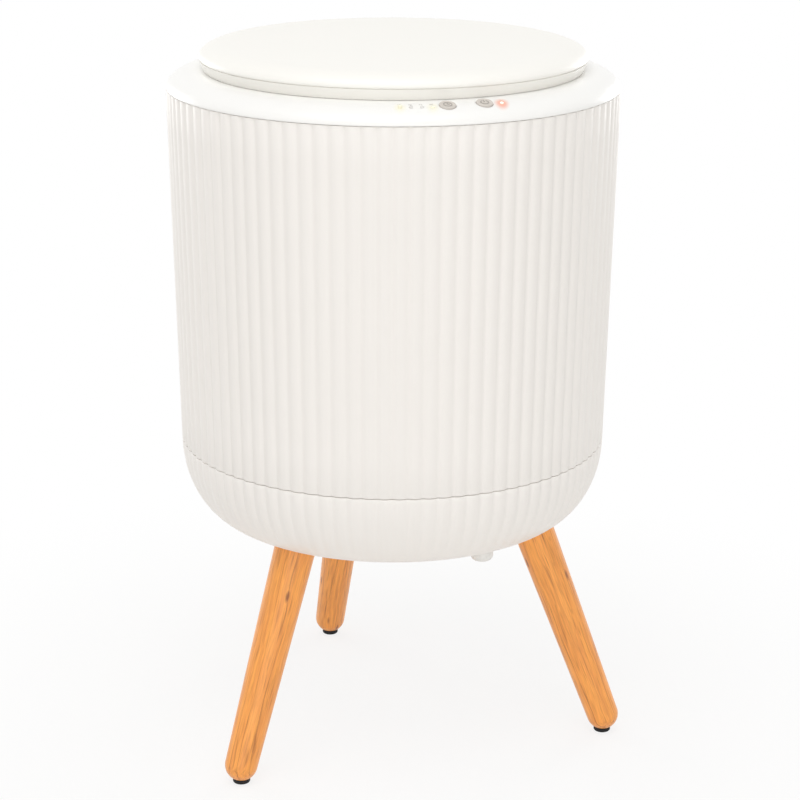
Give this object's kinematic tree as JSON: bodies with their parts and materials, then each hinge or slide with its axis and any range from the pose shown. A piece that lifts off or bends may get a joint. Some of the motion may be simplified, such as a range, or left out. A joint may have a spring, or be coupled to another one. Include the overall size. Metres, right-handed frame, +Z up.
{
  "type": "towel warmer bucket",
  "caption": "Round ribbed towel warmer with a heated bucket, a lift-off lid, timer and power buttons on its rim, and splayed wooden legs.",
  "frame": {"origin": "on the floor under the bucket's axis, midway between the three feet", "axes": "+Z up along the bucket's axis; the buttons face -Y, the single rear leg is towards +Y"},
  "size_m": [0.32, 0.3332, 0.5125],
  "materials": {
    "lid_white": "moulded, fine satin",
    "ring_white": "moulded, semi-gloss",
    "shell_white": "moulded, satin, ribbed",
    "button_grey": "moulded, satin",
    "beech": "turned beech, clear lacquer",
    "black_rubber": "matte",
    "white_rubber": "matte",
    "silicone": "matte",
    "aluminium": "drawn, satin",
    "foil": "bright foil",
    "zinc_steel": "zinc plated",
    "brass": "turned",
    "wire_jacket": "silicone jacket",
    "felt": "glass fibre felt",
    "foam": "expanded foam",
    "board_green": "solder mask",
    "part_black": "moulded",
    "part_yellow": "taped coil",
    "part_green": "moulded",
    "lamp_amber": "diffused",
    "lamp_red": "diffused",
    "lens_clear": "diffused",
    "plate_silver": "blank foil plate"
  },
  "bodies": {
    "body": {"base_bowl": "shell_white", "base_screws": "zinc_steel", "body_shell": "shell_white", "bumper_caps": "white_rubber", "capacitor": "part_black", "control_board": "board_green", "control_harness": "part_black", "control_screws": "zinc_steel", "cord_gland": "part_black", "flange_screws": "zinc_steel", "floor_insulation": "felt", "foot_pad_front_left": "black_rubber", "foot_pad_front_right": "black_rubber", "foot_pad_rear": "black_rubber", "foot_screws": "zinc_steel", "gland_nut": "part_black", "heat_shield": "aluminium", "heater_foil": "foil", "heater_leads": "wire_jacket", "heating_wire": "wire_jacket", "inner_bucket": "aluminium", "insulation_blanket": "felt", "leg_bolts": "zinc_steel", "leg_front_left": "beech", "leg_front_right": "beech", "leg_inserts": "brass", "leg_rear": "beech", "lower_plug": "lid_white", "power_board": "board_green", "power_board_screws": "zinc_steel", "power_lamp": "lamp_red", "power_lens": "lens_clear", "power_switch": "part_black", "rating_plate": "plate_silver", "relay": "part_black", "rim_gasket": "silicone", "temperature_sensor": "part_black", "terminal_block": "part_green", "thermal_fuse": "aluminium", "thermostat": "zinc_steel", "timer_lamps": "lamp_amber", "timer_lenses": "lens_clear", "timer_switch": "part_black", "top_ring": "ring_white", "transformer": "part_yellow", "upper_plug": "lid_white", "weld_nuts": "zinc_steel"},
    "lid": {"lid_cover": "lid_white", "lid_gasket": "silicone", "lid_insulation": "foam", "lid_liner": "lid_white", "lid_screws": "zinc_steel"},
    "timer_button": {"timer_button": "button_grey", "timer_plunger": "part_black"},
    "power_button": {"power_button": "button_grey", "power_plunger": "part_black"}
  },
  "joints": [
    {"name": "lid_lift", "type": "slide", "parent": "body", "child": "lid", "axis": [0, 0, 1], "range_m": [0, 0.2]},
    {"name": "timer_button_press", "type": "slide", "parent": "body", "child": "timer_button", "axis": [0, 0.2462, -0.9692], "range_m": [0, 0.0008], "stiffness_N_per_m": 1500, "springref_m": -0.0002},
    {"name": "power_button_press", "type": "slide", "parent": "body", "child": "power_button", "axis": [0, 0.2462, -0.9692], "range_m": [0, 0.0008], "stiffness_N_per_m": 1500, "springref_m": -0.0002}
  ]
}
